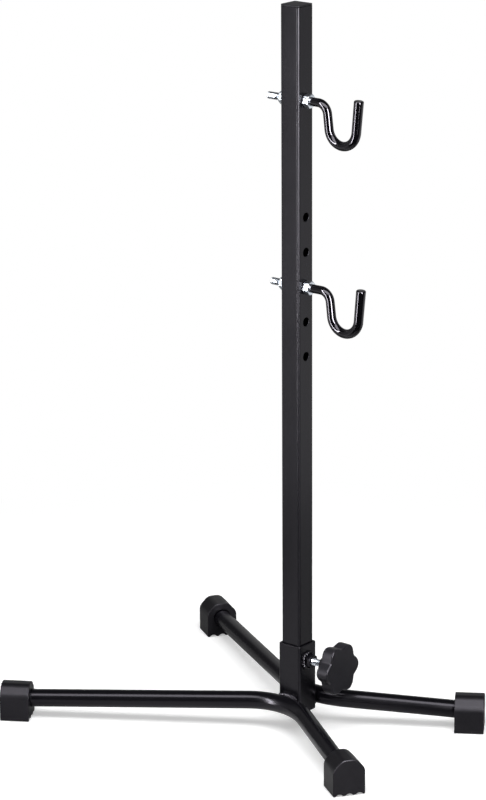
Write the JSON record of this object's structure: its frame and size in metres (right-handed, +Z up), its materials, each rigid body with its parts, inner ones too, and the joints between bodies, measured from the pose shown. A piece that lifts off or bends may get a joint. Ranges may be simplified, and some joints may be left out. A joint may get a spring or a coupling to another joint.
{
  "type": "bicycle floor stand",
  "caption": "Bicycle floor stand: a square post clamped in a socket on two bent tubes with rubber feet, and two J hooks that move between holes in the post.",
  "frame": {"origin": "middle of the footprint, on the floor", "axes": "+Z up along the post, +X the side of the hooks and the knob, +Y the stand's left"},
  "size_m": [0.4672, 0.4008, 0.8172],
  "materials": {
    "powder_coat": "black powder coat, satin",
    "coated_weld": "black powder coat over weld beads",
    "foot_rubber": "black moulded rubber, matt",
    "black_plastic": "black moulded plastic, matt",
    "dipped_vinyl": "black dipped vinyl, high gloss",
    "zinc_plate": "bright zinc plate"
  },
  "bodies": {
    "base": {"socket": "powder_coat", "socket_floor": "powder_coat", "right_base_tube": "powder_coat", "left_base_tube": "powder_coat", "front_right_foot": "foot_rubber", "front_left_foot": "foot_rubber", "rear_right_foot": "foot_rubber", "rear_left_foot": "foot_rubber", "knob_nut": "powder_coat", "right_weld_top": "coated_weld", "right_weld_bottom": "coated_weld", "left_weld_top": "coated_weld", "left_weld_bottom": "coated_weld", "nut_weld": "coated_weld"},
    "post": {"post": "powder_coat", "post_cap": "black_plastic"},
    "clamp_screw": {"clamp_screw": "zinc_plate"},
    "star_knob": {"star_knob": "black_plastic"},
    "upper_front_nut": {"upper_hook_nut": "zinc_plate"},
    "upper_hook": {"upper_hook_rod": "zinc_plate", "upper_hook_coating": "dipped_vinyl"},
    "upper_back_nut": {"upper_back_nut": "zinc_plate"},
    "lower_front_nut": {"lower_hook_nut": "zinc_plate"},
    "lower_hook": {"lower_hook_rod": "zinc_plate", "lower_hook_coating": "dipped_vinyl"},
    "lower_back_nut": {"lower_back_nut": "zinc_plate"}
  },
  "joints": [
    {"name": "post_height", "type": "slide", "parent": "base", "child": "post", "axis": [0, 0, 1], "range_m": [0, 0.045]},
    {"name": "clamp_travel", "type": "slide", "parent": "base", "child": "clamp_screw", "axis": [1, 0, 0], "range_m": [0, 0.00376]},
    {"name": "knob_turn", "type": "hinge", "parent": "clamp_screw", "child": "star_knob", "pos_m": [0.05458, 0, 0.0815], "axis": [1, 0, 0], "range_deg": [0, 1080]},
    {"name": "upper_hook_pull", "type": "slide", "parent": "post", "child": "upper_front_nut", "axis": [1, 0, 0], "range_m": [0, 0.054]},
    {"name": "upper_hook_swivel", "type": "hinge", "parent": "upper_front_nut", "child": "upper_hook", "pos_m": [0.05458, 0, 0.7142], "axis": [1, 0, 0], "range_deg": [-90, 90]},
    {"name": "upper_nut_run", "type": "slide", "parent": "post", "child": "upper_back_nut", "axis": [-1, 0, 0], "range_m": [0, 0.028]},
    {"name": "lower_hook_pull", "type": "slide", "parent": "post", "child": "lower_front_nut", "axis": [1, 0, 0], "range_m": [0, 0.05]},
    {"name": "lower_hook_swivel", "type": "hinge", "parent": "lower_front_nut", "child": "lower_hook", "pos_m": [0.05458, 0, 0.5096], "axis": [1, 0, 0], "range_deg": [-90, 90]},
    {"name": "lower_nut_run", "type": "slide", "parent": "post", "child": "lower_back_nut", "axis": [-1, 0, 0], "range_m": [0, 0.024]}
  ],
  "couplings": [
    {"joint": "clamp_travel", "follows": "knob_turn", "m_per_rad": 0.00019894}
  ]
}
